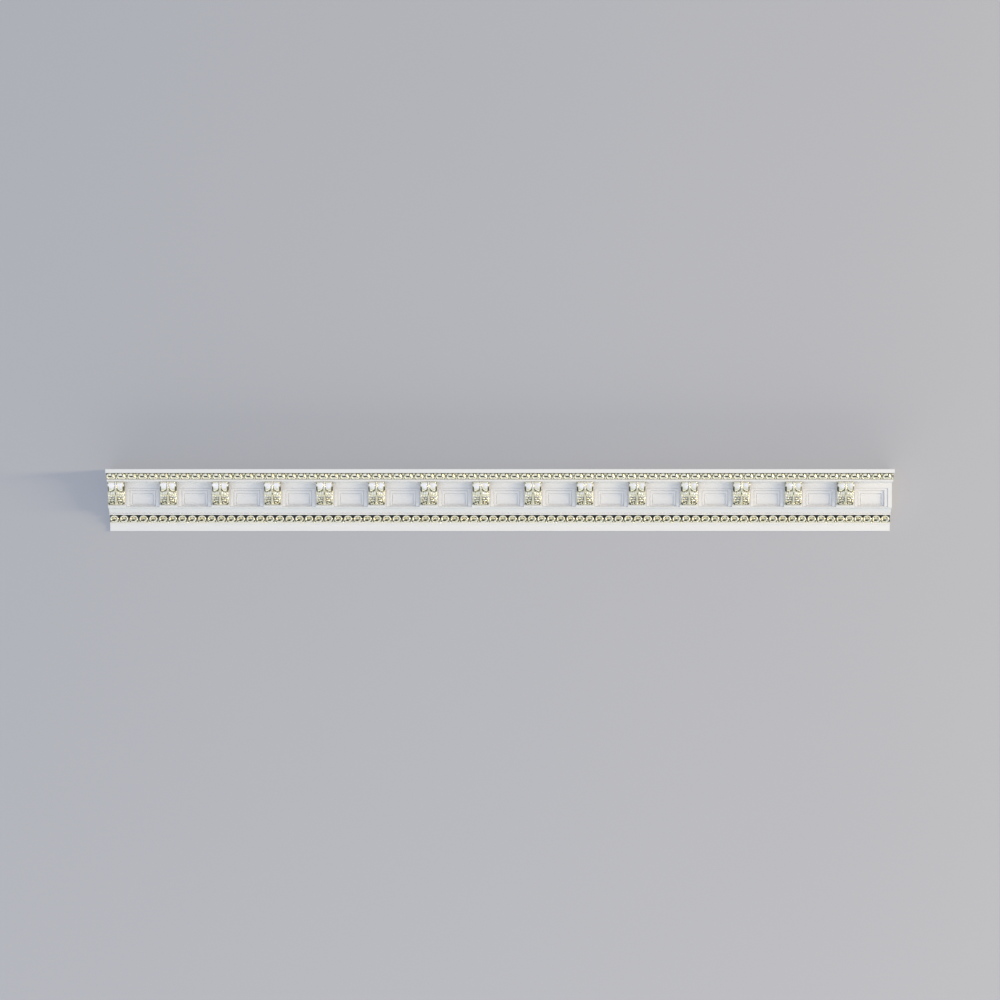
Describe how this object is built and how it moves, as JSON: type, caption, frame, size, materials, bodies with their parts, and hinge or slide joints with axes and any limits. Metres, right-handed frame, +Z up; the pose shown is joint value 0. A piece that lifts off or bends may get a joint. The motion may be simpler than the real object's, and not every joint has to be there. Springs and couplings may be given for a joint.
{
  "type": "cornice",
  "caption": "Straight bracketed cornice: white run moulding with sunk frieze panels, gilded leaf brackets, leaf band and egg-and-dart band, cut square at both ends.",
  "frame": {"origin": "middle of the flat wall face at the back, half way along the length and half way up the height", "axes": "+X along the run, to the right seen from the front; +Y out of the back, into the wall, so the front faces -Y; +Z up, towards the ceiling"},
  "size_m": [2.4, 0.15, 0.19],
  "materials": {
    "white": "satin white paint over cast plaster or hard foam",
    "gilt_bracket": "pale champagne-gold leaf with a dark antique wash in the hollows",
    "gilt_leaf": "pale champagne-gold leaf with a dark antique wash in the hollows",
    "gilt_egg": "pale champagne-gold leaf with a dark antique wash in the hollows"
  },
  "bodies": {
    "root": {"cornice_body": "white", "leaf_strip": "gilt_leaf", "egg_strip": "gilt_egg", "modillion_01": "gilt_bracket", "modillion_02": "gilt_bracket", "modillion_03": "gilt_bracket", "modillion_04": "gilt_bracket", "modillion_05": "gilt_bracket", "modillion_06": "gilt_bracket", "modillion_07": "gilt_bracket", "modillion_08": "gilt_bracket", "modillion_09": "gilt_bracket", "modillion_10": "gilt_bracket", "modillion_11": "gilt_bracket", "modillion_12": "gilt_bracket", "modillion_13": "gilt_bracket", "modillion_14": "gilt_bracket", "modillion_15": "gilt_bracket"}
  },
  "joints": []
}
